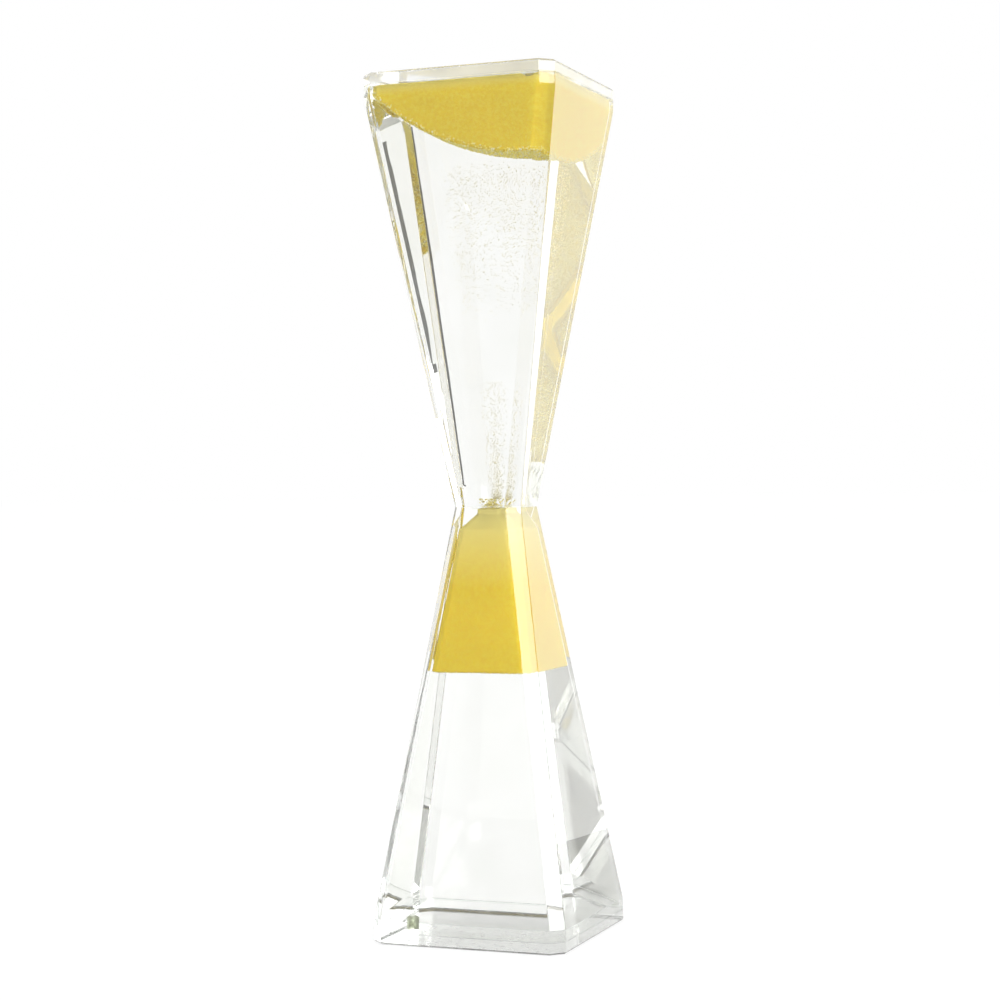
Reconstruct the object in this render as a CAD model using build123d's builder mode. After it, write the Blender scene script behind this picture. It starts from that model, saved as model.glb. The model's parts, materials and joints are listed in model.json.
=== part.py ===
from build123d import *
import math
import os

# Square sealed timer: two clear hollow pyramids joined at a narrow neck and
# closed by flat caps, full of clear liquid in which fine granules rise.
# Millimetres. The origin is the middle of the base, +Z is up and the face
# that is seen best looks towards -Y.

# Casing
total_height = 150.0
rim_width = 35.2
neck_width = 12.4
edge_bevel = 2.15
wall = 1.8
cap_thickness = 2.0
cap_edge_round = 0.5
collar_height = 2.0

# Cured cement between the mouldings
glue_thickness = 0.1
glue_recess = 0.25

# Neck and flow plate
throat_width = 4.6
throat_bevel = 0.5
throat_length = 0.9
funnel_length = 2.6
plate_width = 6.4
plate_bevel = 0.8
plate_thickness = 1.0
plate_gap = 0.05
flow_hole_radius = 1.2

# Fill plug in the bottom cap
plug_radius = 1.1
plug_fit_gap = 0.02
plug_stand = 2.0
plug_recess = 0.3
plug_tip_bevel = 0.3
plug_inset_x = 6.3
plug_inset_y = 7.1

# Hanging mass under the neck: height of its flat face over the base
level_height = 46.3

# Heap under the top cap: a ball-shaped face, lowest to the right of the middle,
# that meets the cap on a circle which passes behind the back wall
heap_depth = 12.2
heap_past_back = 6.42
heap_inset_x = 6.3
heap_inset_y = 11.7

# Air bubble under the top cap
bubble_width = 2.6
bubble_depth = 0.7
bubble_inset_x = 4.4
bubble_inset_y = 4.6

# Loose granules: a narrow stream over the neck and a wider cloud under the heap
granule_radius = 0.35
stream_count = 34
stream_start = 1.6
stream_length = 20.0
stream_radius_low = 0.8
stream_radius_high = 2.6
stream_drift = 1.2
cloud_count = 46
cloud_radius_near = 4.4
cloud_radius_far = 8.6
cloud_length = 26.0
cloud_clearance = 1.2

# Places worked out from the sizes above
mid_height = total_height / 2
rim_half = rim_width / 2
neck_face = mid_height - glue_thickness / 2
chamber_start = cap_thickness + glue_thickness
collar_top = chamber_start + collar_height
pocket_floor = mid_height - plate_thickness / 2
funnel_top = pocket_floor - throat_length
funnel_base = funnel_top - funnel_length
taper = (rim_width - neck_width) / (mid_height - collar_top)
corner_thinning = 2 - math.sqrt(2)
inner_bevel = edge_bevel - wall * corner_thinning
inner_width = rim_width - 2 * wall
pocket_width = plate_width + 2 * plate_gap
funnel_base_width = inner_width - taper * (funnel_base - collar_top)
golden_angle = 180 * (3 - math.sqrt(5))


def bevelled_square(height, width, bevel):
    """Square face with cut corners, lying flat at a height."""
    with BuildSketch(Plane.XY.offset(height), mode=Mode.PRIVATE) as outline:
        Rectangle(width, width)
        chamfer(outline.vertices(), bevel)
    return outline.sketch


def inside_sections():
    """Height over the nearer cap's outer face, width and bevel of the hollow."""
    return [
        (cap_thickness, inner_width, inner_bevel),
        (collar_top, inner_width, inner_bevel),
        (funnel_base, funnel_base_width, inner_bevel),
        (funnel_top, throat_width, throat_bevel),
        (pocket_floor, throat_width, throat_bevel),
    ]


def loft_sections(sections, mode=Mode.ADD, upside_down=False):
    """Straight-sided stack through the sections, from the base up or from the top down."""
    for first, second in zip(sections, sections[1:]):
        faces = []
        for height, width, bevel in (first, second):
            level = total_height - height if upside_down else height
            faces.append(bevelled_square(level, width, bevel))
        loft(faces, ruled=True, mode=mode)


def granule_places(count, start, length, radius_low, radius_high, centre):
    """Even spiral of places that climbs from start and widens on the way."""
    places = []
    for step in range(count):
        climb_share = step / (count - 1)
        radius = radius_low + (radius_high - radius_low) * math.sqrt(climb_share)
        angle = math.radians(step * golden_angle)
        places.append(
            (
                centre[0] + radius * math.cos(angle),
                centre[1] + radius * math.sin(angle),
                start + length * climb_share,
            )
        )
    return places


os.makedirs("parts", exist_ok=True)

# Lower chamber: collar, tapered walls, funnel, throat and half of the plate's pocket
with BuildPart() as lower_chamber:
    loft_sections(
        [
            (chamber_start, rim_width, edge_bevel),
            (collar_top, rim_width, edge_bevel),
            (neck_face, neck_width, edge_bevel),
        ]
    )
    loft_sections(inside_sections(), mode=Mode.SUBTRACT)
    loft_sections(
        [
            (pocket_floor, pocket_width, plate_bevel),
            (neck_face, pocket_width, plate_bevel),
        ],
        mode=Mode.SUBTRACT,
    )
lower_chamber.part.label = "lower_chamber"
export_step(lower_chamber.part, "parts/lower_chamber.step")

# Upper chamber: the same moulding turned over
with BuildPart() as upper_chamber:
    mirror(lower_chamber.part, about=Plane.XY.offset(mid_height))
upper_chamber.part.label = "upper_chamber"
export_step(upper_chamber.part, "parts/upper_chamber.step")

# Bottom cap with its fill hole
plug_x = -(rim_half - plug_inset_x)
plug_y = -(rim_half - plug_inset_y)
with BuildPart() as bottom_cap:
    loft_sections([(0, rim_width, edge_bevel), (cap_thickness, rim_width, edge_bevel)])
    fillet(bottom_cap.faces().sort_by(Axis.Z)[0].edges(), cap_edge_round)
    with Locations((plug_x, plug_y, cap_thickness / 2)):
        Cylinder(plug_radius + plug_fit_gap, cap_thickness, mode=Mode.SUBTRACT)
bottom_cap.part.label = "bottom_cap"
export_step(bottom_cap.part, "parts/bottom_cap.step")

# Top cap: the same plate, closed
with BuildPart() as top_cap:
    loft_sections(
        [(0, rim_width, edge_bevel), (cap_thickness, rim_width, edge_bevel)],
        upside_down=True,
    )
    fillet(top_cap.faces().sort_by(Axis.Z)[-1].edges(), cap_edge_round)
top_cap.part.label = "top_cap"
export_step(top_cap.part, "parts/top_cap.step")

# Fill plug: a peg through the bottom cap, its bevelled end inside
plug_length = cap_thickness + plug_stand - plug_recess
with BuildPart() as fill_plug:
    with Locations((plug_x, plug_y, plug_recess + plug_length / 2)):
        Cylinder(plug_radius, plug_length)
    chamfer(fill_plug.faces().sort_by(Axis.Z)[-1].edges(), plug_tip_bevel)
fill_plug.part.label = "fill_plug"
export_step(fill_plug.part, "parts/fill_plug.step")

# Glue lines at the two caps, set back a little from the outside
glue_width = rim_width - 2 * glue_recess
glue_bevel = edge_bevel - glue_recess * corner_thinning
glue_span = [(cap_thickness, glue_width, glue_bevel), (chamber_start, glue_width, glue_bevel)]
glue_hollow = [(cap_thickness, inner_width, inner_bevel), (chamber_start, inner_width, inner_bevel)]
with BuildPart() as bottom_glue_line:
    loft_sections(glue_span)
    loft_sections(glue_hollow, mode=Mode.SUBTRACT)
bottom_glue_line.part.label = "bottom_glue_line"
export_step(bottom_glue_line.part, "parts/bottom_glue_line.step")

with BuildPart() as top_glue_line:
    loft_sections(glue_span, upside_down=True)
    loft_sections(glue_hollow, mode=Mode.SUBTRACT, upside_down=True)
top_glue_line.part.label = "top_glue_line"
export_step(top_glue_line.part, "parts/top_glue_line.step")

# Glue line at the neck, round the flow plate
neck_glue_width = neck_width - 2 * glue_recess
with BuildPart() as neck_glue_line:
    loft_sections(
        [
            (neck_face, neck_glue_width, glue_bevel),
            (neck_face + glue_thickness, neck_glue_width, glue_bevel),
        ]
    )
    loft_sections(
        [
            (neck_face, pocket_width, plate_bevel),
            (neck_face + glue_thickness, pocket_width, plate_bevel),
        ],
        mode=Mode.SUBTRACT,
    )
neck_glue_line.part.label = "neck_glue_line"
export_step(neck_glue_line.part, "parts/neck_glue_line.step")

# Flow plate, held in the pockets of both chambers
with BuildPart() as flow_plate:
    loft_sections(
        [
            (pocket_floor, plate_width, plate_bevel),
            (pocket_floor + plate_thickness, plate_width, plate_bevel),
        ]
    )
    with Locations((0, 0, mid_height)):
        Cylinder(flow_hole_radius, plate_thickness, mode=Mode.SUBTRACT)
flow_plate.part.label = "flow_plate"
export_step(flow_plate.part, "parts/flow_plate.step")

# Mass that hangs under the neck, flat below, with the plug of granules in the flow hole
with BuildPart() as lower_granules:
    loft_sections(inside_sections())
    split(bisect_by=Plane.XY.offset(level_height), keep=Keep.TOP)
    with Locations((0, 0, mid_height)):
        Cylinder(flow_hole_radius, plate_thickness)
lower_granules.part.label = "lower_granules"
export_step(lower_granules.part, "parts/lower_granules.step")

# Clear liquid under the hanging mass, round the end of the fill plug
with BuildPart() as lower_liquid:
    loft_sections(inside_sections())
    split(bisect_by=Plane.XY.offset(level_height), keep=Keep.BOTTOM)
    add(fill_plug.part, mode=Mode.SUBTRACT)
lower_liquid.part.label = "lower_liquid"
export_step(lower_liquid.part, "parts/lower_liquid.step")

# Air bubble: a flat lens under the top cap
cap_underside = total_height - cap_thickness
bubble_half = bubble_width / 2
bubble_radius = (bubble_half**2 + bubble_depth**2) / (2 * bubble_depth)
bubble_x = rim_half - bubble_inset_x
bubble_y = -(rim_half - bubble_inset_y)
with BuildPart() as air_bubble:
    with Locations((bubble_x, bubble_y, cap_underside - bubble_depth + bubble_radius)):
        Sphere(bubble_radius)
    split(bisect_by=Plane.XY.offset(cap_underside), keep=Keep.BOTTOM)
air_bubble.part.label = "air_bubble"
export_step(air_bubble.part, "parts/air_bubble.step")

# Heap under the top cap
heap_x = rim_half - heap_inset_x
heap_y = -(rim_half - heap_inset_y)
heap_low = cap_underside - heap_depth
heap_reach = inner_width / 2 - heap_y + heap_past_back
heap_face_radius = (heap_reach**2 + heap_depth**2) / (2 * heap_depth)
heap_centre = (heap_x, heap_y, heap_low + heap_face_radius)
with BuildPart() as upper_granules:
    loft_sections(inside_sections(), upside_down=True)
    with Locations(heap_centre):
        Sphere(heap_face_radius, mode=Mode.INTERSECT)
    add(air_bubble.part, mode=Mode.SUBTRACT)
upper_granules.part.label = "upper_granules"
export_step(upper_granules.part, "parts/upper_granules.step")

# Loose granules over the neck, which rise together
stream_base = mid_height + plate_thickness / 2 + stream_start
stream_places = granule_places(
    stream_count,
    stream_base,
    stream_length,
    stream_radius_low,
    stream_radius_high,
    (stream_drift, 0),
)
with BuildPart() as rising_granules:
    with Locations(stream_places):
        Sphere(granule_radius)
rising_granules.part.label = "rising_granules"
export_step(rising_granules.part, "parts/rising_granules.step")

# Loose granules that have nearly arrived, round the stream's path
cloud_places = granule_places(
    cloud_count,
    heap_low - cloud_clearance - cloud_length,
    cloud_length,
    cloud_radius_near,
    cloud_radius_far,
    (stream_drift, 0),
)
with BuildPart() as settling_granules:
    with Locations(cloud_places):
        Sphere(granule_radius)
settling_granules.part.label = "settling_granules"
export_step(settling_granules.part, "parts/settling_granules.step")

# Clear liquid over the neck, round the heap, the bubble and the loose granules
with BuildPart() as upper_liquid:
    loft_sections(inside_sections(), upside_down=True)
    add(upper_granules.part, mode=Mode.SUBTRACT)
    add(air_bubble.part, mode=Mode.SUBTRACT)
    add(rising_granules.part, mode=Mode.SUBTRACT)
    add(settling_granules.part, mode=Mode.SUBTRACT)
upper_liquid.part.label = "upper_liquid"
export_step(upper_liquid.part, "parts/upper_liquid.step")

# How far the stream can rise before its top granule meets the heap
stream_top = stream_base + stream_length + granule_radius
stream_reach = stream_radius_high + granule_radius
heap_offset = math.hypot(heap_x - stream_drift, heap_y) - stream_reach
heap_face = heap_centre[2] - math.sqrt(heap_face_radius**2 - heap_offset**2)
print("room for the stream to rise", round(heap_face - stream_top, 2))
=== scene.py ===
"""Looks, light and camera for a clear square timer in which fine yellow granules rise."""
import json
import math

import bmesh
import bpy
from mathutils import Matrix, Vector

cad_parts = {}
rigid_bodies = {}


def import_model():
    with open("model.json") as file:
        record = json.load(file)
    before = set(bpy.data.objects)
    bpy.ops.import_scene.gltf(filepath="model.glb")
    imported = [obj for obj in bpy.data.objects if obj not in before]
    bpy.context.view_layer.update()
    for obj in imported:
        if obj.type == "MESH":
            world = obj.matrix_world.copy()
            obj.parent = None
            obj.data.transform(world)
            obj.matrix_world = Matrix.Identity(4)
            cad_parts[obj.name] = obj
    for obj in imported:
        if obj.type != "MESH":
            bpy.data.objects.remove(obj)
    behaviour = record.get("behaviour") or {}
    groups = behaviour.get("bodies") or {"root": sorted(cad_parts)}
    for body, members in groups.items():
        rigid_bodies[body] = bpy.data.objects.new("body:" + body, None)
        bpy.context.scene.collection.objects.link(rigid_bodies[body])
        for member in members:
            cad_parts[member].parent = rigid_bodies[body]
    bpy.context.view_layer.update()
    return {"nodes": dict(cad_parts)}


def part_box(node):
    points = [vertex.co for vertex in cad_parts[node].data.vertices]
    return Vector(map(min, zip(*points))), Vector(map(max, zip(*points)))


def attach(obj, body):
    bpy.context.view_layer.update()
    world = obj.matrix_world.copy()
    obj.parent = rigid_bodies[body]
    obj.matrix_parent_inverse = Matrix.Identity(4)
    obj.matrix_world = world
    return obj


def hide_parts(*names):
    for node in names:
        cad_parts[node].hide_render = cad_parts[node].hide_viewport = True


# Sizes in metres, heights over the surface that the timer stands on
MM = 0.001
COLLAR_HEIGHT = 2.0 * MM
THROAT_WIDTH = 4.6 * MM
THROAT_BEVEL = 0.5 * MM
THROAT_LENGTH = 0.9 * MM
FUNNEL_LENGTH = 2.6 * MM
POCKET_DEPTH = 0.45 * MM
POCKET_WIDTH = 6.5 * MM
POCKET_BEVEL = 0.8 * MM
FLOW_HOLE_RADIUS = 1.2 * MM
HEAP_INSET_X = 6.3 * MM
HEAP_INSET_Y = 11.7 * MM
HEAP_PAST_BACK = 6.42 * MM
ARRIS_ROUND = 0.12 * MM
SEAM_DEPTH = 0.06 * MM
CONTACT_GAP = 0.01 * MM
LIQUID_FILM = 0.02 * MM
GRANULE_FILM = 0.06 * MM
FLOOR_GAP = 0.05 * MM
BUBBLE_ROOM = Vector((1.6, 2.6, 0.9)) * MM
HEAP_GRAIN = 0.37 * MM
MASS_GRAIN = 0.24 * MM
SKIRT_DEPTH = 1.3 * MM
SKIRT_THICKNESS = 0.8 * MM
HEAP_FACE_BAND = 0.25 * MM
CRUMB_BAND = 0.6 * MM
HEAP_PALE_TOP_DEPTH = 4 * MM
PLUME_DEPTH = 0.9 * MM
STREAM_CLEARANCE = 0.2 * MM
SAME_PLACE = 0.01 * MM

# Grain of the finishes
TINT_CLOUD = 9 * MM
FINE_WEAR = 1.5 * MM
WALL_RIPPLE = 0.004 * MM
RIPPLE_SIZE = 6 * MM
GRANULE_SIZE = 0.3 * MM
GRANULE_RELIEF = 0.015 * MM
PLUG_FADE = 0.2 * MM

# Light bends at air against plastic, and hardly at plastic against liquid
PLASTIC_IOR = 1.49
LIQUID_IOR = 1.475
WALL_TO_LIQUID_IOR = PLASTIC_IOR / LIQUID_IOR
SAME_BODY_IOR = 1.0
PLUG_IOR = 1.2
PLUG_CLEARNESS = 0.75

# Floor, whose own glow makes it as white as the surroundings
FLOOR_SIZE = 40.0
FLOOR_SHADE = 0.86
FLOOR_GLOW = 1.05
FLOOR_GLOW_SHARE = 0.75

# Paths of light through the many clear faces
LIGHT_BOUNCES = 64

# Sockets of a Mix node that mixes colours
FIRST_COLOUR, SECOND_COLOUR, MIXED_COLOUR = 6, 7, 2

# Camera, worked out from the edges of the timer in the photograph
FRAME_PIXELS = 1000
SENSOR_WIDTH = 36.0
FOCAL_PIXELS = 2224.7
CAMERA_DISTANCE = 393.27 * MM
CAMERA_HEIGHT = 77.87 * MM
CAMERA_YAW = math.radians(21.355)
CAMERA_HEADING = math.radians(-0.103)
CAMERA_PITCH = math.radians(-0.245)
CAMERA_ROLL = math.radians(-0.718)

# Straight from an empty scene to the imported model
for left_over in list(bpy.data.objects):
    bpy.data.objects.remove(left_over)
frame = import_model()
NODES = frame["nodes"]


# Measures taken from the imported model
def section(node, height, outermost=True):
    """Width and corner bevel of the square ring of a node's points at a height."""
    points = [v.co for v in NODES[node].data.vertices if abs(v.co.z - height) < 0.002 * MM]
    reaches = [max(abs(p.x), abs(p.y)) for p in points]
    reach = max(reaches) if outermost else min(reaches)
    flat = max(abs(p.x) for p in points if abs(abs(p.y) - reach) < 0.005 * MM)
    return 2 * reach, reach - flat


base_low, top_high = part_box("bottom_cap")[0].z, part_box("top_cap")[1].z
TOTAL_HEIGHT = top_high - base_low
MID_HEIGHT = TOTAL_HEIGHT / 2
CHAMBER_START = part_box("lower_chamber")[0].z
NECK_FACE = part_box("lower_chamber")[1].z
CAP_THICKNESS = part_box("bottom_cap")[1].z
COLLAR_TOP = CHAMBER_START + COLLAR_HEIGHT
POCKET_FLOOR = NECK_FACE - POCKET_DEPTH - CONTACT_GAP
FUNNEL_TOP = POCKET_FLOOR - THROAT_LENGTH
FUNNEL_BASE = FUNNEL_TOP - FUNNEL_LENGTH
RIM_WIDTH, EDGE_BEVEL = section("lower_chamber", CHAMBER_START)
NECK_WIDTH = section("lower_chamber", NECK_FACE)[0]
INNER_WIDTH, INNER_BEVEL = section("lower_chamber", CHAMBER_START, outermost=False)
TAPER = (RIM_WIDTH - NECK_WIDTH) / (MID_HEIGHT - COLLAR_TOP)
FUNNEL_BASE_WIDTH = INNER_WIDTH - TAPER * (FUNNEL_BASE - COLLAR_TOP)
LEVEL_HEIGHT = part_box("lower_granules")[0].z
HEAP_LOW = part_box("upper_granules")[0].z


# Nodes for the finishes
class Finish:
    """A material whose surface is one Principled shader, with patterns on Object coordinates."""

    def __init__(self, name):
        self.material = bpy.data.materials.new(name)
        self.material.use_nodes = True
        self.tree = self.material.node_tree
        self.shader = self.tree.nodes["Principled BSDF"]
        self.place = self.add("ShaderNodeTexCoord").outputs["Object"]

    def add(self, kind, **values):
        """A node with its settings, and its unlinked inputs set by name."""
        node = self.tree.nodes.new(kind)
        for name, value in values.items():
            if name in node.inputs:
                node.inputs[name].default_value = value
            else:
                setattr(node, name, value)
        return node

    def join(self, source, target):
        self.tree.links.new(source, target)

    def set(self, **values):
        for name, value in values.items():
            self.shader.inputs[name.replace("_", " ")].default_value = value

    def noise(self, size, detail=2.0):
        """Soft noise with features of about that size."""
        node = self.add("ShaderNodeTexNoise", Scale=1 / size, Detail=detail)
        self.join(self.place, node.inputs["Vector"])
        return node.outputs["Fac"]

    def cells(self, size, output="Distance"):
        """Round cells of about that size."""
        node = self.add("ShaderNodeTexVoronoi", Scale=1 / size)
        self.join(self.place, node.inputs["Vector"])
        return node.outputs[output]

    def between(self, source, low, high, from_low=0.3, from_high=0.7):
        """Spreads a pattern over a range of values."""
        node = self.add("ShaderNodeMapRange")
        node.inputs["From Min"].default_value = from_low
        node.inputs["From Max"].default_value = from_high
        node.inputs["To Min"].default_value = low
        node.inputs["To Max"].default_value = high
        self.join(source, node.inputs["Value"])
        return node.outputs["Result"]

    def shades(self, source, stops):
        """Colours along a pattern, as (position, colour) stops."""
        node = self.add("ShaderNodeValToRGB")
        ramp = node.color_ramp.elements
        while len(ramp) < len(stops):
            ramp.new(0.5)
        for element, (position, colour) in zip(ramp, stops):
            element.position = position
            element.color = (*colour, 1.0)
        self.join(source, node.inputs["Fac"])
        return node.outputs["Color"]

    def height_share(self, low, high):
        """0 up to one height, 1 from another, and even steps between them."""
        split = self.add("ShaderNodeSeparateXYZ")
        self.join(self.place, split.inputs["Vector"])
        return self.between(split.outputs["Z"], 0.0, 1.0, low, high)

    def blend(self, share, first, second):
        """One colour turning into another; each is a socket or a plain colour."""
        mix = self.add("ShaderNodeMix", data_type="RGBA")
        self.join(share, mix.inputs["Factor"])
        for number, colour in ((FIRST_COLOUR, first), (SECOND_COLOUR, second)):
            if isinstance(colour, tuple):
                mix.inputs[number].default_value = (*colour, 1.0)
            else:
                self.join(colour, mix.inputs[number])
        return mix.outputs[MIXED_COLOUR]

    def relief(self, source, depth):
        """Bumps of that real depth."""
        node = self.add("ShaderNodeBump", Distance=depth, Strength=1.0)
        self.join(source, node.inputs["Height"])
        self.join(node.outputs["Normal"], self.shader.inputs["Normal"])


def clear_finish(name, ior, pale, deep, clearness=1.0, haze=(0.0, 0.0), ripple=0.0):
    """Clear matter: a faint cloud of tint, and where asked a moulder's ripple and a haze of fine wear."""
    finish = Finish(name)
    finish.set(Transmission_Weight=clearness, IOR=ior, Roughness=0.0)
    cloud = finish.noise(TINT_CLOUD)
    finish.join(finish.shades(cloud, [(0.35, pale), (0.65, deep)]), finish.shader.inputs["Base Color"])
    if haze[1]:
        wear = finish.between(finish.noise(FINE_WEAR, detail=6.0), *haze, 0.5, 0.75)
        finish.join(wear, finish.shader.inputs["Roughness"])
    if ripple:
        finish.relief(finish.noise(RIPPLE_SIZE, detail=0.0), ripple)
    return finish.material


def plug_finish(wetted_to):
    """Green plastic, which can't be seen up to the height to which cement wets it in its hole."""
    finish = Finish("green_plug")
    finish.set(Transmission_Weight=PLUG_CLEARNESS)
    shown = finish.height_share(wetted_to, wetted_to + PLUG_FADE)
    finish.join(finish.between(shown, SAME_BODY_IOR, PLUG_IOR, 0.0, 1.0), finish.shader.inputs["IOR"])
    clearness = finish.between(shown, 1.0, PLUG_CLEARNESS, 0.0, 1.0)
    finish.join(clearness, finish.shader.inputs["Transmission Weight"])
    green = finish.shades(finish.noise(0.7 * MM), [(0.35, (0.66, 0.7, 0.55)), (0.65, (0.3, 0.34, 0.2))])
    finish.join(finish.blend(shown, (0.97, 0.98, 0.96), green), finish.shader.inputs["Base Color"])
    finish.join(finish.between(finish.noise(0.4 * MM), 0.0, 0.15), finish.shader.inputs["Roughness"])
    return finish.material


def granule_finish(name, shadow, body, light, paler_above=None, low=0.0, high=1.0):
    """Fine waxy granules wetted by oil: grain by grain in shade and height, and paler upwards where asked,
    which on the hanging mass is painted light.
    """
    finish = Finish(name)
    finish.set(Roughness=0.8, IOR=1.02)
    grain = finish.cells(GRANULE_SIZE, "Color")
    colour = finish.shades(grain, [(0.1, shadow), (0.5, body), (0.9, light)])
    if paler_above:
        colour = finish.blend(finish.height_share(low, high), colour, paler_above)
    finish.join(colour, finish.shader.inputs["Base Color"])
    finish.relief(finish.cells(GRANULE_SIZE), GRANULE_RELIEF)
    return finish.material


polished_wall = clear_finish(
    "polished_wall", PLASTIC_IOR, (0.98, 0.985, 0.978), (0.96, 0.968, 0.958),
    clearness=0.985, haze=(0.0, 0.02), ripple=WALL_RIPPLE,
)
rubbed_end = clear_finish(
    "rubbed_end", PLASTIC_IOR, (0.98, 0.98, 0.975), (0.955, 0.96, 0.955), clearness=0.8, haze=(0.05, 0.2)
)
# Painted shade: the grey of the foot's outer face stands for the shadowed floor seen through the base; its
# haze is real rubbing.
rubbed_foot = clear_finish(
    "rubbed_foot", PLASTIC_IOR, (0.5, 0.5, 0.495), (0.38, 0.38, 0.375), clearness=0.45, haze=(0.1, 0.3)
)
scuffed_side = clear_finish(
    "scuffed_side", PLASTIC_IOR, (0.76, 0.77, 0.785), (0.65, 0.66, 0.675), clearness=0.5, haze=(0.0, 0.1)
)
# The lid's rounded edge: real wear in its haze, and painted shade in its grey, which draws a darker outline.
worn_edge = clear_finish(
    "worn_edge", PLASTIC_IOR, (0.82, 0.825, 0.81), (0.64, 0.645, 0.63), clearness=0.75, haze=(0.2, 0.5)
)
# Painted shadow: the foot's rounded edge is near-black for the contact shadow that it bends into view; its
# haze is real wear.
worn_foot_edge = clear_finish(
    "worn_foot_edge", PLASTIC_IOR, (0.26, 0.26, 0.255), (0.12, 0.12, 0.118), clearness=0.4, haze=(0.2, 0.5)
)
wetted_wall = clear_finish("wetted_wall", WALL_TO_LIQUID_IOR, (0.995, 0.997, 0.995), (0.99, 0.993, 0.99))
bonded_face = clear_finish("bonded_face", SAME_BODY_IOR, (0.98, 0.985, 0.98), (0.95, 0.96, 0.95))
clear_oil = clear_finish("clear_oil", SAME_BODY_IOR, (0.995, 0.995, 0.985), (0.985, 0.985, 0.97))
cured_cement = clear_finish("cured_cement", SAME_BODY_IOR, (0.97, 0.975, 0.97), (0.92, 0.93, 0.92))
pale_seam = clear_finish(
    "pale_seam", PLASTIC_IOR, (0.99, 0.99, 0.985), (0.97, 0.97, 0.965), clearness=0.4, haze=(0.1, 0.3)
)
grey_seam = clear_finish(
    "grey_seam", PLASTIC_IOR, (0.6, 0.6, 0.59), (0.4, 0.4, 0.395), clearness=0.6, haze=(0.1, 0.3)
)
plate_plastic = clear_finish("plate_plastic", SAME_BODY_IOR, (0.98, 0.985, 0.98), (0.96, 0.97, 0.96))
green_plug = plug_finish(CAP_THICKNESS)
# Painted reflection: the bubble is nearly all white, for the white surroundings that it mirrors.
bubble_skin = clear_finish("bubble_skin", LIQUID_IOR, (1.0, 1.0, 1.0), (0.98, 0.99, 1.0), clearness=0.1)
# The heap's granules turn paler over the top few millimetres, up to the cap.
packed_granules = granule_finish(
    "packed_granules", (0.86, 0.6, 0.02), (0.89, 0.67, 0.025), (0.91, 0.74, 0.06), (0.93, 0.79, 0.2),
    TOTAL_HEIGHT - HEAP_PALE_TOP_DEPTH, TOTAL_HEIGHT - CAP_THICKNESS,
)
# Painted light: the hanging mass turns paler up to the neck, for the light and white veil that fall more on
# its upper part.
hanging_granules = granule_finish(
    "hanging_granules", (0.93, 0.64, 0.01), (0.96, 0.71, 0.014), (0.98, 0.78, 0.035), (1.0, 0.87, 0.3),
    (LEVEL_HEIGHT + NECK_FACE) / 2, NECK_FACE,
)
# Pale crumbs, made paler still as painted light, to brighten the shaded undersides of the heap and the mass
# and the self-shaded plume.
edge_granules = granule_finish("edge_granules", (1.0, 0.82, 0.1), (1.0, 0.88, 0.2), (1.0, 0.96, 0.7))
loose_granules = granule_finish("loose_granules", (0.9, 0.82, 0.48), (0.94, 0.87, 0.58), (0.97, 0.93, 0.72))


# Shapes from square rings with bevelled corners
def ring(width, bevel, height):
    """Eight corner points of a bevelled square, anticlockwise from above."""
    far, near = width / 2, width / 2 - bevel
    corners = [(near, -far), (far, -near), (far, near), (near, far)]
    corners += [(-x, -y) for x, y in corners]
    return [Vector((x, y, height)) for x, y in corners]


def rings_object(name, rings, closed_loop, materials, strip_materials=None, upside_down=False):
    """A solid through rings: a loop of rings that comes back to the first, or a stack with flat ends."""
    shape = bmesh.new()
    made = []
    for points in rings:
        if upside_down:
            points = [Vector((p.x, p.y, TOTAL_HEIGHT - p.z)) for p in points]
        made.append([shape.verts.new(p) for p in points])
    pairs = list(zip(made, made[1:]))
    if closed_loop:
        pairs.append((made[-1], made[0]))
    for strip, (first, second) in enumerate(pairs):
        for k in range(len(first)):
            after = (k + 1) % len(first)
            face = shape.faces.new((first[k], first[after], second[after], second[k]))
            face.material_index = strip_materials[strip] if strip_materials else 0
    if not closed_loop:
        shape.faces.new(made[0][::-1])
        shape.faces.new(made[-1])
    bmesh.ops.recalc_face_normals(shape, faces=shape.faces)
    mesh = bpy.data.meshes.new(name)
    shape.to_mesh(mesh)
    shape.free()
    for material in materials:
        mesh.materials.append(material)
    made_object = bpy.data.objects.new(name, mesh)
    bpy.context.scene.collection.objects.link(made_object)
    return made_object


def hollow_rings(film, low=None):
    """Rings of the lower hollow from the cap to the pocket, drawn in by a film's thickness."""
    stack = [
        (INNER_WIDTH, INNER_BEVEL, CAP_THICKNESS + film),
        (INNER_WIDTH, INNER_BEVEL, COLLAR_TOP),
        (FUNNEL_BASE_WIDTH, INNER_BEVEL, FUNNEL_BASE),
        (THROAT_WIDTH, THROAT_BEVEL, FUNNEL_TOP),
        (THROAT_WIDTH, THROAT_BEVEL, POCKET_FLOOR - film),
    ]
    if low is not None:
        width = INNER_WIDTH - TAPER * (low - COLLAR_TOP)
        stack = [(width, INNER_BEVEL, low)] + [r for r in stack if r[2] > low]
    return [ring(width - 2 * film, bevel, height) for width, bevel, height in stack]


def settle(piece, body, slot, *nodes):
    """Lets a finished piece ride on its body and stand for its CAD nodes; its slot is not used."""
    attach(piece, body)
    if nodes:
        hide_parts(*nodes)
    return piece


def applied(piece, name):
    """A piece as a plain mesh with its modifiers applied."""
    depsgraph = bpy.context.evaluated_depsgraph_get()
    mesh = bpy.data.meshes.new_from_object(piece.evaluated_get(depsgraph))
    bpy.data.objects.remove(piece)
    plain = bpy.data.objects.new(name, mesh)
    plain.name = mesh.name = name
    bpy.context.scene.collection.objects.link(plain)
    return plain


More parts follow.
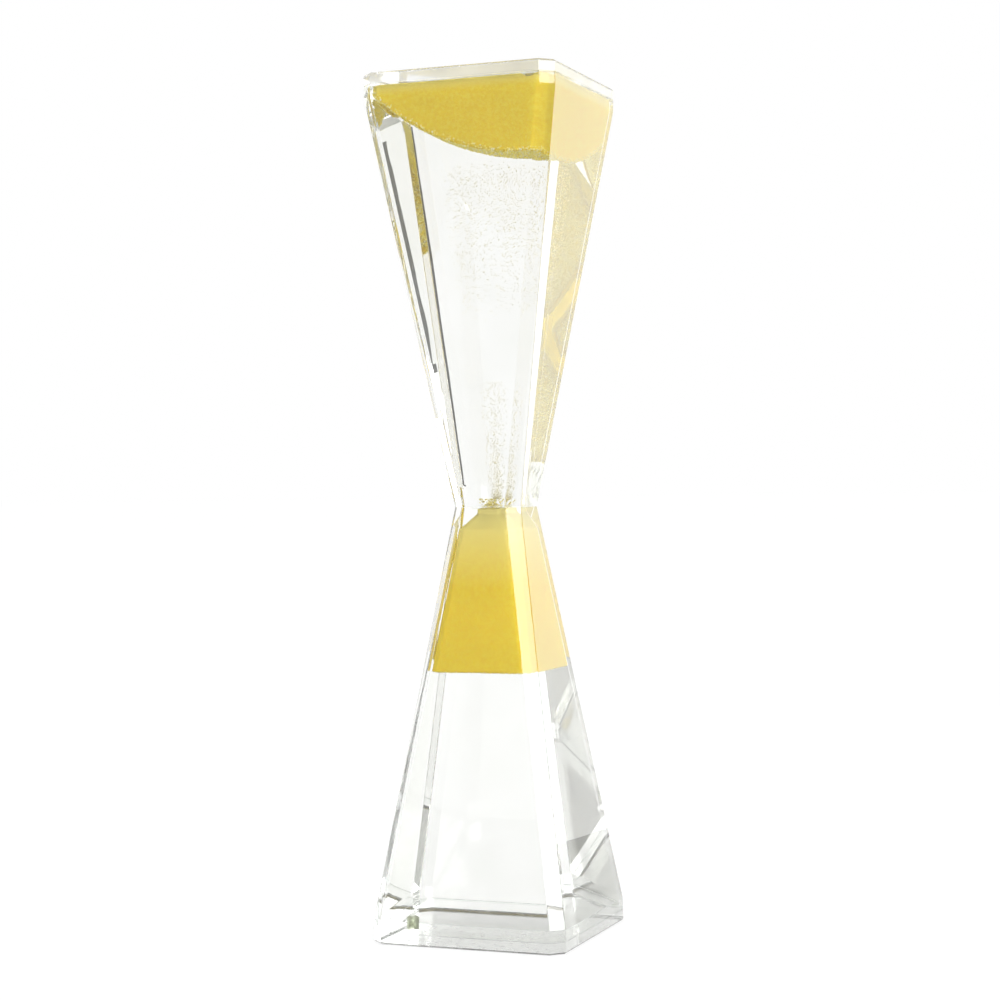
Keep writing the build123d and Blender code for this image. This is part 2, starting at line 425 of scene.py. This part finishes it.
# Casing
def round_arrises(piece, radius):
    """Rounds the eight upright outer arrises and the outer arrises round the collar."""
    mesh = piece.data
    weights = mesh.attributes.new("bevel_weight_edge", "FLOAT", "EDGE")
    for edge in mesh.edges:
        ends = [mesh.vertices[i].co for i in edge.vertices]
        heights = sorted(min(p.z, TOTAL_HEIGHT - p.z) for p in ends)
        outside = all(max(abs(p.x), abs(p.y)) > outer_reach(p.z) - SAME_PLACE for p in ends)
        upright = heights[1] - heights[0] > 0.1 * MM
        at_collar = abs(heights[0] - COLLAR_TOP) < SAME_PLACE and not upright
        weights.data[edge.index].value = 1.0 if outside and (upright or at_collar) else 0.0
    bevel = piece.modifiers.new("arrises", "BEVEL")
    bevel.limit_method = "WEIGHT"
    bevel.width = radius
    bevel.segments = 3
    return applied(piece, piece.name)


def outer_reach(height):
    """Half the casing's outer width at a height."""
    over_end = min(height, TOTAL_HEIGHT - height)
    return RIM_WIDTH / 2 - TAPER / 2 * max(0.0, over_end - COLLAR_TOP)


def chamber(name, node, upside_down):
    """One clear pyramid: collar, tapered walls, funnel, throat and half of the plate's pocket."""
    outside = [
        ring(RIM_WIDTH, EDGE_BEVEL, CHAMBER_START),
        ring(RIM_WIDTH, EDGE_BEVEL, COLLAR_TOP),
        ring(NECK_WIDTH, EDGE_BEVEL, NECK_FACE),
    ]
    inside = [
        ring(INNER_WIDTH, INNER_BEVEL, CHAMBER_START),
        ring(INNER_WIDTH, INNER_BEVEL, COLLAR_TOP),
        ring(FUNNEL_BASE_WIDTH, INNER_BEVEL, FUNNEL_BASE),
        ring(THROAT_WIDTH, THROAT_BEVEL, FUNNEL_TOP),
        ring(THROAT_WIDTH, THROAT_BEVEL, POCKET_FLOOR),
        ring(POCKET_WIDTH, POCKET_BEVEL, POCKET_FLOOR),
        ring(POCKET_WIDTH, POCKET_BEVEL, NECK_FACE),
    ]
    polished, bonded, wetted = 0, 1, 2
    strips = [polished, polished, bonded] + [wetted] * (len(inside) - 1) + [bonded]
    shell = rings_object(
        name, outside + inside[::-1], True, [polished_wall, bonded_face, wetted_wall], strips, upside_down
    )
    return settle(round_arrises(shell, ARRIS_ROUND), "timer", "clear_plastic", node)


def dressed_copy(name, node, finishes, choose):
    """A CAD node's own mesh as a new piece, each face with the finish that the choice gives it."""
    mesh = NODES[node].data.copy()
    mesh.name = name
    mesh.materials.clear()
    for finish in finishes:
        mesh.materials.append(finish)
    for polygon in mesh.polygons:
        polygon.material_index = choose(polygon)
    piece = bpy.data.objects.new(name, mesh)
    bpy.context.scene.collection.objects.link(piece)
    return piece


def end_cap(name, node):
    """A cap: its sides, an outer face and edge that tables rub, and an inner face that bonds; on the foot the
    grey of that face and the dark of that edge are painted shade of the shadow under the base.
    """
    bottom = node == "bottom_cap"
    inner_height = CAP_THICKNESS if bottom else TOTAL_HEIGHT - CAP_THICKNESS
    outer_height = base_low if bottom else top_high
    side, bonded, rubbed_and_shaded, worn_and_shaded = 0, 1, 2, 3

    def choose(polygon):
        near_middle = max(abs(polygon.center.x), abs(polygon.center.y)) < RIM_WIDTH / 2 - EDGE_BEVEL / 2
        if abs(polygon.center.z - outer_height) < SAME_PLACE:
            return rubbed_and_shaded
        in_fill_hole = abs(polygon.normal.z) < 0.5 and near_middle
        if abs(polygon.center.z - inner_height) < SAME_PLACE or in_fill_hole:
            return bonded
        return worn_and_shaded if abs(polygon.normal.z) > 0.3 else side

    foot = [polished_wall, bonded_face, rubbed_foot, worn_foot_edge]
    lid = [scuffed_side, bonded_face, rubbed_end, worn_edge]
    cap = dressed_copy(name, node, foot if bottom else lid, choose)
    return settle(cap, "timer", "clear_plastic", node)


def glue_line(name, node, outer_width, inner_width, inner_bevel, shown):
    """Cured cement, pressed out to a shallow seam, clear where it bonds and hazy where it shows."""
    low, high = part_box(node)[0].z + CONTACT_GAP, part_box(node)[1].z - CONTACT_GAP
    outer = outer_width - 2 * SEAM_DEPTH
    rings = [
        ring(outer, EDGE_BEVEL, low),
        ring(outer, EDGE_BEVEL, high),
        ring(inner_width, inner_bevel, high),
        ring(inner_width, inner_bevel, low),
    ]
    seam, bonded = 0, 1
    piece = rings_object(name, rings, True, [shown, cured_cement], [seam, bonded, bonded, bonded])
    return settle(piece, "timer", "cured_cement", node)


def bubble():
    """The air bubble, its flat top a hair's breadth under the cap, painted white as a reflection of the white
    surroundings.
    """
    piece = dressed_copy("bubble", "air_bubble", [bubble_skin], lambda polygon: 0)
    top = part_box("air_bubble")[1].z
    for vertex in piece.data.vertices:
        if abs(vertex.co.z - top) < SAME_PLACE:
            vertex.co.z -= 2 * CONTACT_GAP
    return settle(piece, "timer", "trapped_air", "air_bubble")


def finish_node(node, material):
    """A CAD node that is shown as it is, with its finish."""
    mesh = NODES[node].data
    mesh.materials.clear()
    mesh.materials.append(material)


# Granules
def new_granule_tree(name, counts, sizes):
    """An empty geometry nodes tree with named inputs for granules."""
    tree = bpy.data.node_groups.new(name, "GeometryNodeTree")
    inputs = [("Geometry", "Geometry")]
    inputs += [(count, "Int") for count in counts]
    inputs += [(size, "Float") for size in (*sizes, "Least radius", "Largest radius")]
    inputs += [("Seed", "Int"), ("Finish", "Material")]
    for label, kind in inputs:
        tree.interface.new_socket(label, in_out="INPUT", socket_type="NodeSocket" + kind)
    tree.interface.new_socket("Geometry", in_out="OUTPUT", socket_type="NodeSocketGeometry")
    return tree


def granule_skin_tree():
    """Geometry nodes: granules strewn over a surface, half sunk in it."""
    tree = new_granule_tree("granule_skin", counts=(), sizes=("Granules per area",))
    add = tree.nodes.new
    link = tree.links.new
    given, result = add("NodeGroupInput"), add("NodeGroupOutput")
    strewn = add("GeometryNodeDistributePointsOnFaces")
    link(given.outputs["Geometry"], strewn.inputs["Mesh"])
    link(given.outputs["Granules per area"], strewn.inputs["Density"])
    link(given.outputs["Seed"], strewn.inputs["Seed"])
    link(place_granules(tree, given, strewn.outputs["Points"]), result.inputs["Geometry"])
    return tree


def place_granules(tree, given, points):
    """Puts a small ball of random size on each point, as real geometry with its finish."""
    add = tree.nodes.new
    link = tree.links.new
    size = add("FunctionNodeRandomValue")
    link(given.outputs["Least radius"], size.inputs["Min"])
    link(given.outputs["Largest radius"], size.inputs["Max"])
    link(given.outputs["Seed"], size.inputs["Seed"])
    ball = add("GeometryNodeMeshIcoSphere")
    ball.inputs["Radius"].default_value = 1.0
    ball.inputs["Subdivisions"].default_value = 1
    put = add("GeometryNodeInstanceOnPoints")
    link(points, put.inputs["Points"])
    link(ball.outputs["Mesh"], put.inputs["Instance"])
    link(size.outputs["Value"], put.inputs["Scale"])
    smooth = add("GeometryNodeSetShadeSmooth")
    real = add("GeometryNodeRealizeInstances")
    finish = add("GeometryNodeSetMaterial")
    link(put.outputs["Instances"], real.inputs["Geometry"])
    link(real.outputs["Geometry"], smooth.inputs["Geometry"])
    link(smooth.outputs["Geometry"], finish.inputs["Geometry"])
    link(given.outputs["Finish"], finish.inputs["Material"])
    return finish.outputs["Geometry"]


def granule_swarm_tree():
    """Geometry nodes: loose granules in a column that climbs and widens."""
    sizes = ("Start", "Length", "Crowding", "Inner reach", "Low reach", "High reach", "Drift")
    tree = new_granule_tree("granule_swarm", counts=("Count",), sizes=sizes)
    add = tree.nodes.new
    link = tree.links.new
    given, result = add("NodeGroupInput"), add("NodeGroupOutput")

    def chance(shift):
        """A random share for each granule."""
        node = add("FunctionNodeRandomValue")
        seed = maths("ADD", given.outputs["Seed"], shift)
        link(seed, node.inputs["Seed"])
        return node.outputs["Value"]

    def maths(operation, *sources):
        """One sum on sockets or plain numbers."""
        node = add("ShaderNodeMath")
        node.operation = operation
        for socket, source in zip(node.inputs, sources):
            if isinstance(source, (int, float)):
                socket.default_value = source
            else:
                link(source, socket)
        return node.outputs["Value"]

    climb = maths("POWER", chance(1), given.outputs["Crowding"])
    widening = maths("SUBTRACT", given.outputs["High reach"], given.outputs["Low reach"])
    reach = maths("MULTIPLY_ADD", widening, maths("SQRT", climb), given.outputs["Low reach"])
    room = maths("SUBTRACT", reach, given.outputs["Inner reach"])
    out = maths("MULTIPLY_ADD", room, maths("POWER", chance(2), 0.8), given.outputs["Inner reach"])
    turn = maths("MULTIPLY", chance(3), math.tau)
    across = maths("MULTIPLY_ADD", out, maths("COSINE", turn), given.outputs["Drift"])
    along = maths("MULTIPLY", out, maths("SINE", turn))
    up = maths("MULTIPLY_ADD", climb, given.outputs["Length"], given.outputs["Start"])
    spot = add("ShaderNodeCombineXYZ")
    for socket, source in zip(spot.inputs, (across, along, up)):
        link(source, socket)
    points = add("GeometryNodePoints")
    link(given.outputs["Count"], points.inputs["Count"])
    link(spot.outputs["Vector"], points.inputs["Position"])
    link(place_granules(tree, given, points.outputs["Points"]), result.inputs["Geometry"])
    return tree


def grown(name, source, tree, **values):
    """The plain mesh that a geometry nodes tree makes on a piece, with its named inputs set."""
    modifier = source.modifiers.new("granules", "NODES")
    modifier.node_group = tree
    for item in tree.interface.items_tree:
        key = item.name.replace(" ", "_").lower()
        if item.in_out == "INPUT" and key in values:
            modifier[item.identifier] = values[key]
    return applied(source, name)


def remeshed(piece, grain):
    """The piece as an even net of small faces."""
    remesh = piece.modifiers.new("net", "REMESH")
    remesh.mode = "VOXEL"
    remesh.voxel_size = grain
    remesh.use_smooth_shade = True
    return applied(piece, piece.name)


def cloned(piece, name):
    """A copy of a piece under another name."""
    copy = bpy.data.objects.new(name, piece.data.copy())
    bpy.context.scene.collection.objects.link(copy)
    return copy


def keep_faces(piece, wanted):
    """Leaves only the faces that pass a test."""
    shape = bmesh.new()
    shape.from_mesh(piece.data)
    left_out = [f for f in shape.faces if not wanted(f)]
    bmesh.ops.delete(shape, geom=left_out, context="FACES")
    shape.to_mesh(piece.data)
    shape.free()
    return piece


def joined(name, *pieces):
    """Several pieces as one mesh object."""
    for piece in bpy.context.view_layer.objects:
        piece.select_set(piece in pieces)
    bpy.context.view_layer.objects.active = pieces[0]
    bpy.ops.object.join()
    pieces[0].name = name
    pieces[0].data.name = name
    return pieces[0]


skin_tree = granule_skin_tree()
swarm_tree = granule_swarm_tree()


def hanging_mass():
    """Granules packed under the neck, with a flat, grainy lower face."""
    body = rings_object("mass_body", hollow_rings(GRANULE_FILM, LEVEL_HEIGHT), False, [hanging_granules])
    body = remeshed(body, MASS_GRAIN)
    level = keep_faces(cloned(body, "mass_level"), lambda f: f.normal.z < -0.8)
    # The granules on the mass's lower face are pale as painted light, lifting the shade under it.
    skin = grown(
        "mass_skin", level, skin_tree, granules_per_area=1.2e7,
        least_radius=0.08 * MM, largest_radius=0.2 * MM, seed=3, finish=edge_granules,
    )
    # The plume's granules are pale as painted light against their own shade.
    plume_start = NECK_FACE - PLUME_DEPTH
    plume = swarm(
        "plume", count=320, start=plume_start, length=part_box("rising_granules")[0].z - plume_start,
        crowding=1.0, inner_reach=0.0, low_reach=FLOW_HOLE_RADIUS * 0.8, high_reach=FLOW_HOLE_RADIUS * 2.0,
        drift=0.0,
        least_radius=0.08 * MM, largest_radius=0.16 * MM, seed=11, finish=edge_granules,
    )
    return settle(joined("hanging_mass", body, skin, plume), "timer", "yellow_granules", "lower_granules")


def ball(centre, radii, subdivisions):
    """A ball with three radii."""
    shape = bmesh.new()
    bmesh.ops.create_icosphere(shape, subdivisions=subdivisions, radius=1.0)
    bmesh.ops.scale(shape, verts=shape.verts, vec=radii)
    bmesh.ops.translate(shape, verts=shape.verts, vec=centre)
    mesh = bpy.data.meshes.new("ball")
    shape.to_mesh(mesh)
    shape.free()
    piece = bpy.data.objects.new("ball", mesh)
    bpy.context.scene.collection.objects.link(piece)
    return piece


def combined(piece, operation, other):
    """The piece cut by or joined to another one, which is used up."""
    step = piece.modifiers.new("step", "BOOLEAN")
    step.operation = operation
    step.solver = "EXACT"
    step.object = other
    piece = applied(piece, piece.name)
    bpy.data.objects.remove(other)
    return piece


def upper_hollow(name, film, low):
    """The hollow of the upper chamber from the cap down to a height, a film's thickness inside its walls."""
    upper = [r for r in hollow_rings(film) if TOTAL_HEIGHT - r[0].z > low]
    width = INNER_WIDTH - TAPER * (TOTAL_HEIGHT - low - COLLAR_TOP) - 2 * film
    upper.append(ring(width, INNER_BEVEL, TOTAL_HEIGHT - low))
    return rings_object(name, upper, False, [packed_granules], upside_down=True)


def heap():
    """Granules heaped under the top cap: a ball's form, a skirt that clings to the walls, and crumbs."""
    heap_x = RIM_WIDTH / 2 - HEAP_INSET_X
    heap_y = -(RIM_WIDTH / 2 - HEAP_INSET_Y)
    depth = TOTAL_HEIGHT - CAP_THICKNESS - HEAP_LOW
    spread = INNER_WIDTH / 2 - heap_y + HEAP_PAST_BACK
    radius = (spread**2 + depth**2) / (2 * depth)
    centre = Vector((heap_x, heap_y, HEAP_LOW + radius))
    reach_low = HEAP_LOW - 2 * MM
    body = upper_hollow("heap_body", GRANULE_FILM, reach_low)
    skirt = combined(cloned(body, "skirt"), "INTERSECT", ball(centre, Vector([radius + SKIRT_DEPTH] * 3), 6))
    inside = upper_hollow("inside", GRANULE_FILM + SKIRT_THICKNESS, reach_low - MM)
    skirt = combined(skirt, "DIFFERENCE", inside)
    body = combined(body, "INTERSECT", ball(centre, Vector([radius] * 3), 6))
    body = combined(body, "UNION", skirt)
    low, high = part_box("air_bubble")
    beside_bubble = Vector(((low.x + high.x) / 2, low.y + BUBBLE_ROOM.y / 4, high.z))
    body = remeshed(combined(body, "DIFFERENCE", ball(beside_bubble, BUBBLE_ROOM, 4)), HEAP_GRAIN)

    def out(face):
        """How far a face lies outside the ball."""
        return (face.calc_center_median() - centre).length - radius

    def on_open_face(face):
        return abs(out(face)) < HEAP_FACE_BAND and face.normal.z < -0.3

    def on_skirt_edge(face):
        return out(face) > SKIRT_DEPTH - CRUMB_BAND and face.normal.z < 0.5

    # The open underside's granules and the skirt's crumbs are pale partly as painted light, lifting the shade
    # under the heap.
    skin = grown(
        "heap_skin", keep_faces(cloned(body, "heap_face"), on_open_face), skin_tree,
        granules_per_area=4.8e6, least_radius=0.14 * MM, largest_radius=0.4 * MM,
        seed=5, finish=edge_granules,
    )
    crumbs = grown(
        "crumbs", keep_faces(cloned(body, "skirt_edge"), on_skirt_edge), skin_tree,
        granules_per_area=9e6, least_radius=0.06 * MM, largest_radius=0.2 * MM,
        seed=8, finish=edge_granules,
    )
    return settle(joined("heap", body, skin, crumbs), "timer", "yellow_granules", "upper_granules")


def swarm(name, **values):
    """Loose granules, many and fine."""
    seedling = bpy.data.objects.new("swarm_start", bpy.data.meshes.new("swarm_start"))
    bpy.context.scene.collection.objects.link(seedling)
    return grown(name, seedling, swarm_tree, **values)


def loose_swarm(name, node, body, count, crowding, low_reach_share, seed, inner_reach=0.0):
    """Loose granules in the space of the node that they stand for."""
    low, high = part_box(node)
    reach = (high.x - low.x) / 2
    made = swarm(
        name, count=count, start=low.z, length=high.z - low.z, crowding=crowding, inner_reach=inner_reach,
        low_reach=reach * low_reach_share, high_reach=reach, drift=(high.x + low.x) / 2,
        least_radius=0.04 * MM, largest_radius=0.09 * MM, seed=seed, finish=loose_granules,
    )
    return settle(made, body, "yellow_granules", node)


def liquid(name, node, upside_down):
    """Clear liquid that fills one hollow, a film's thickness inside its walls."""
    piece = rings_object(name, hollow_rings(LIQUID_FILM), False, [clear_oil], upside_down=upside_down)
    return settle(piece, "timer", "clear_liquid", node)


chamber("lower_casing", "lower_chamber", False)
chamber("upper_casing", "upper_chamber", True)
end_cap("base_plate", "bottom_cap")
end_cap("top_plate", "top_cap")
finish_node("flow_plate", plate_plastic)
finish_node("fill_plug", green_plug)
glue_line("top_seam", "top_glue_line", RIM_WIDTH, INNER_WIDTH, INNER_BEVEL, pale_seam)
glue_line("base_seam", "bottom_glue_line", RIM_WIDTH, INNER_WIDTH, INNER_BEVEL, grey_seam)
glue_line("neck_seam", "neck_glue_line", NECK_WIDTH, POCKET_WIDTH, POCKET_BEVEL, pale_seam)
bubble()
liquid("lower_oil", "lower_liquid", False)
liquid("upper_oil", "upper_liquid", True)
hanging_mass()
heap()
loose_swarm(
    "rising_swarm", "rising_granules", "granule_stream", count=1400, crowding=1.9, low_reach_share=0.3, seed=21
)
stream_low, stream_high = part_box("rising_granules")
loose_swarm(
    "settling_swarm", "settling_granules", "timer", count=2000, crowding=0.6, low_reach_share=0.5, seed=22,
    inner_reach=(stream_high.x - stream_low.x) / 2 + STREAM_CLEARANCE,
)


# Stage, light and camera
def floor():
    """Pale floor just under the base, which keeps the timer's soft shadow."""
    material = bpy.data.materials.new("pale_floor")
    material.use_nodes = True
    tree = material.node_tree
    tree.nodes.remove(tree.nodes["Principled BSDF"])
    add = tree.nodes.new
    link = tree.links.new
    matt = add("ShaderNodeBsdfDiffuse")
    matt.inputs["Color"].default_value = (FLOOR_SHADE, FLOOR_SHADE, FLOOR_SHADE, 1.0)
    glow = add("ShaderNodeEmission")
    glow.inputs["Strength"].default_value = FLOOR_GLOW
    mix = add("ShaderNodeMixShader")
    mix.inputs["Fac"].default_value = FLOOR_GLOW_SHARE
    link(matt.outputs["BSDF"], mix.inputs[1])
    link(glow.outputs["Emission"], mix.inputs[2])
    link(mix.outputs["Shader"], tree.nodes["Material Output"].inputs["Surface"])
    bpy.ops.mesh.primitive_plane_add(size=FLOOR_SIZE, location=(0, 0, -FLOOR_GAP))
    plane = bpy.context.object
    plane.name = "floor"
    plane.data.materials.append(material)


def away(bearing):
    """Level direction at a bearing, in degrees clockwise from the way the camera looks."""
    angle = math.pi / 2 + CAMERA_YAW - math.radians(bearing)
    return Vector((math.cos(angle), math.sin(angle), 0.0))


def studio():
    """Plain white surroundings, which the camera and the clear plastic see as they are."""
    world = bpy.data.worlds.new("studio")
    bpy.context.scene.world = world
    world.use_nodes = True
    background = world.node_tree.nodes["Background"]
    background.inputs["Color"].default_value = (1.0, 1.0, 1.0, 1.0)
    background.inputs["Strength"].default_value = 1.0


def softbox(name, bearing, distance, width, low, high, radiance):
    """An upright lit panel at a bearing, facing the timer."""
    data = bpy.data.lights.new(name, "AREA")
    data.shape = "RECTANGLE"
    data.size = width
    data.size_y = high - low
    data.energy = radiance * math.pi * data.size * data.size_y
    lamp = bpy.data.objects.new(name, data)
    bpy.context.scene.collection.objects.link(lamp)
    place = away(bearing) * distance + Vector((0, 0, (low + high) / 2))
    lamp.matrix_world = Matrix.Translation(place) @ away(bearing).to_track_quat("Z", "Y").to_matrix().to_4x4()
    lamp.visible_camera = False


def flag(name, low, low_bearings, high, high_bearings, shade, distance=1.0):
    """A card that draws a darker line along the clear edges; its two ends may lie askew."""
    material = bpy.data.materials.new(name)
    material.use_nodes = True
    shader = material.node_tree.nodes["Principled BSDF"]
    shader.inputs["Base Color"].default_value = (shade, shade, shade, 1.0)
    shader.inputs["Roughness"].default_value = 1.0
    mesh = bpy.data.meshes.new(name)
    corners = [away(bearing) * distance + Vector((0, 0, low)) for bearing in low_bearings]
    corners += [away(bearing) * distance + Vector((0, 0, high)) for bearing in high_bearings]
    mesh.from_pydata(corners, [], [(0, 1, 3, 2)])
    mesh.materials.append(material)
    card = bpy.data.objects.new(name, mesh)
    bpy.context.scene.collection.objects.link(card)
    card.visible_camera = False


def camera():
    """The photograph's point of view."""
    data = bpy.data.cameras.new("camera")
    data.sensor_width = SENSOR_WIDTH
    data.lens = FOCAL_PIXELS * SENSOR_WIDTH / FRAME_PIXELS
    data.clip_start = 0.01
    data.clip_end = 100.0
    eye = bpy.data.objects.new("camera", data)
    bpy.context.scene.collection.objects.link(eye)
    facing = CAMERA_YAW + CAMERA_HEADING
    forward = Vector((
        -math.sin(facing) * math.cos(CAMERA_PITCH),
        math.cos(facing) * math.cos(CAMERA_PITCH),
        math.sin(CAMERA_PITCH),
    ))
    level = forward.cross(Vector((0, 0, 1))).normalized()
    upright = level.cross(forward)
    right = level * math.cos(CAMERA_ROLL) + upright * math.sin(CAMERA_ROLL)
    up = upright * math.cos(CAMERA_ROLL) - level * math.sin(CAMERA_ROLL)
    turned = Matrix((right, up, -forward)).transposed().to_4x4()
    place = Vector((
        CAMERA_DISTANCE * math.sin(CAMERA_YAW), -CAMERA_DISTANCE * math.cos(CAMERA_YAW), CAMERA_HEIGHT
    ))
    eye.matrix_world = Matrix.Translation(place) @ turned
    bpy.context.scene.camera = eye


floor()
studio()
softbox("right_back_panel", bearing=46, distance=0.4, width=0.27, low=0.0, high=0.24, radiance=1.5)
softbox("right_strip", bearing=132, distance=1.0, width=0.1, low=0.04, high=0.58, radiance=10.0)
softbox("front_key", bearing=178, distance=1.2, width=0.8, low=0.55, high=1.35, radiance=5.5)
softbox("front_fill", bearing=178, distance=1.2, width=0.8, low=0.02, high=0.4, radiance=2.0)
flag(
    "dark_flag_near", low=0.0947, low_bearings=(17.2, 17.55), high=0.1725, high_bearings=(9.97, 10.32),
    shade=0.05, distance=0.08,
)
flag(
    "dark_flag_far", low=0.46, low_bearings=(42.32, 42.9), high=0.66, high_bearings=(41.82, 42.4), shade=0.12
)
flag("dark_flag_mid", low=0.41, low_bearings=(40.8, 41.3), high=0.457, high_bearings=(40.8, 41.3), shade=0.12)
flag(
    "dark_flag_low", low=0.4, low_bearings=(45.95, 46.45), high=0.445, high_bearings=(45.95, 46.45), shade=0.12
)
flag("left_side_card", low=0.0, low_bearings=(-105, -62), high=0.8, high_bearings=(-105, -62), shade=0.4)
flag("right_side_card", low=0.0, low_bearings=(62, 105), high=0.8, high_bearings=(62, 105), shade=0.4)
camera()

scene = bpy.context.scene
scene.view_settings.view_transform = "Standard"
scene.cycles.max_bounces = LIGHT_BOUNCES
scene.cycles.transmission_bounces = LIGHT_BOUNCES
scene.cycles.glossy_bounces = LIGHT_BOUNCES
